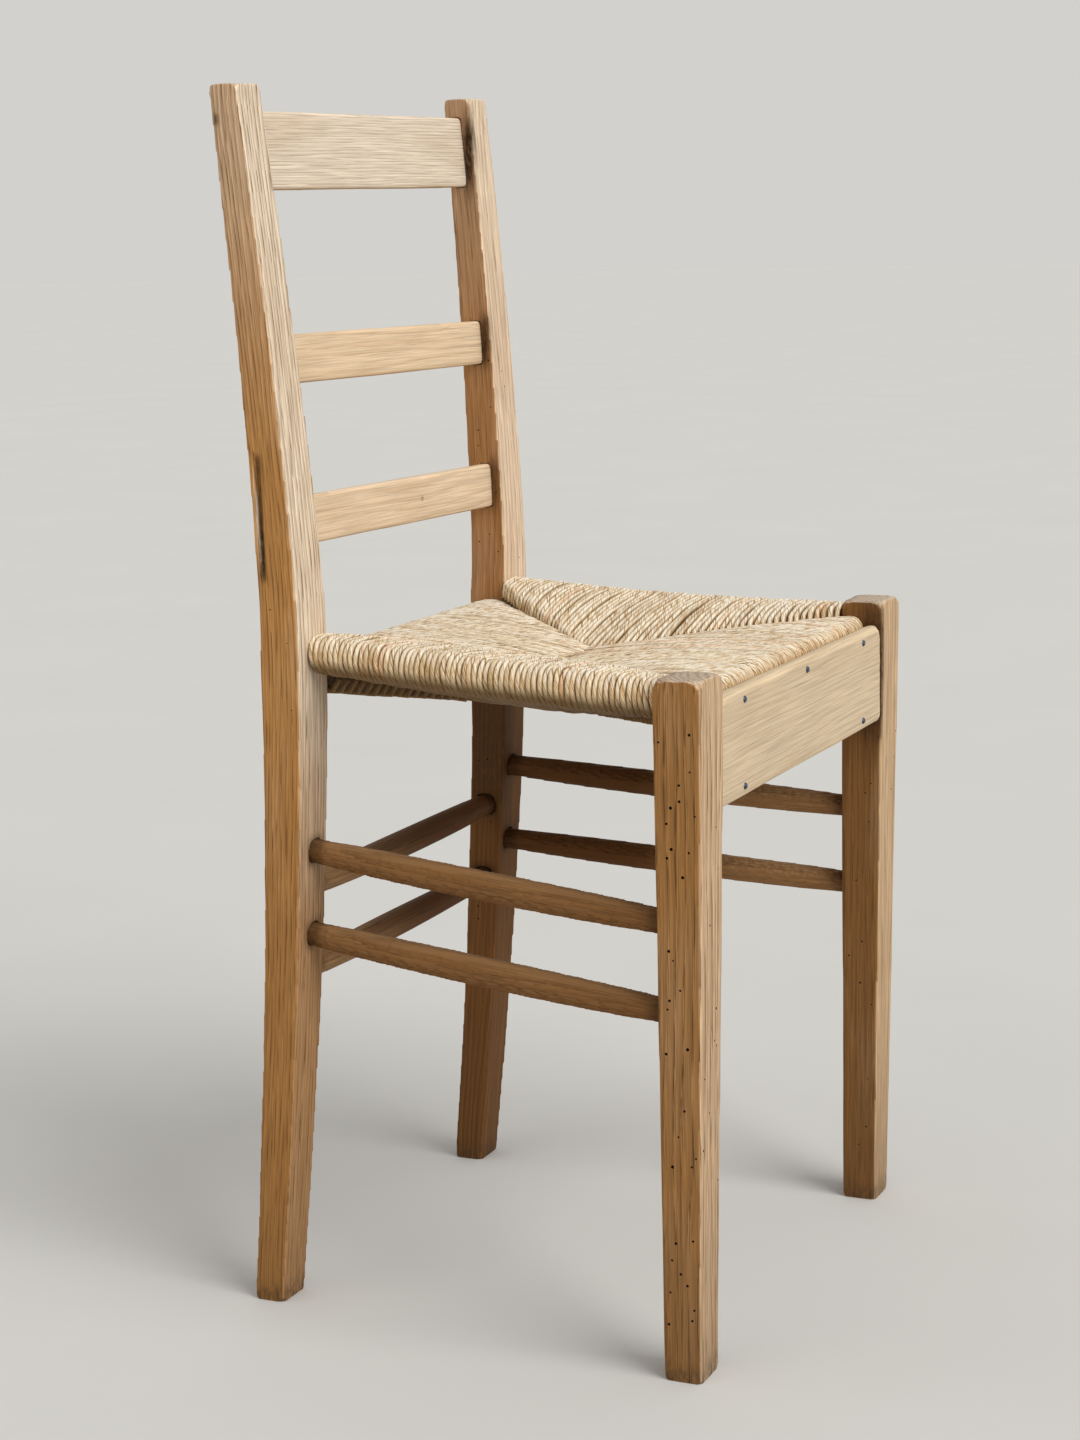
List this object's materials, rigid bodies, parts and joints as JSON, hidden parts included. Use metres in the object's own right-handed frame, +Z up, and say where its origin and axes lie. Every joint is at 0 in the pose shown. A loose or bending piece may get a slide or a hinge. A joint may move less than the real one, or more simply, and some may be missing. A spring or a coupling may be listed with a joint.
{
  "type": "rush-seat ladder-back chair",
  "caption": "Bare wooden ladder-back side chair with a woven rush seat, bent back posts, slats, a nailed front apron and round stretchers.",
  "frame": {"origin": "on the floor, at the middle of the chair's bounding box", "axes": "+Z up; the front of the chair faces -Y; its own left side is +X"},
  "size_m": [0.438, 0.3717, 0.88],
  "materials": {
    "post_wood": "bare worn ash, hewn, rounded pale edges, woodworm holes, grime at the joints and feet",
    "slat_wood": "bare pale wood, open straight grain, worn top edges",
    "apron_wood": "bare pale board, planed, faint grain, worn rounded top edge",
    "stretcher_wood": "bare darkened round wood, fine grain along its length",
    "rail_wood": "bare rough wood, hidden under the rush",
    "rush": "hand-twisted rush cord, straw coloured on top, golden brown at the rolls and underneath",
    "nail_iron": "dull blue-black iron with a slight sheen"
  },
  "bodies": {
    "root": {"right_back_post": "post_wood", "left_back_post": "post_wood", "right_front_leg": "post_wood", "left_front_leg": "post_wood", "top_rail": "slat_wood", "middle_slat": "slat_wood", "lower_slat": "slat_wood", "front_seat_rail": "rail_wood", "back_seat_rail": "rail_wood", "right_seat_rail": "rail_wood", "left_seat_rail": "rail_wood", "rush_seat": "rush", "front_apron": "apron_wood", "apron_nails": "nail_iron", "front_stretcher": "stretcher_wood", "right_upper_stretcher": "stretcher_wood", "right_lower_stretcher": "stretcher_wood", "left_upper_stretcher": "stretcher_wood", "left_lower_stretcher": "stretcher_wood", "back_upper_stretcher": "stretcher_wood", "back_lower_stretcher": "stretcher_wood"}
  },
  "joints": []
}
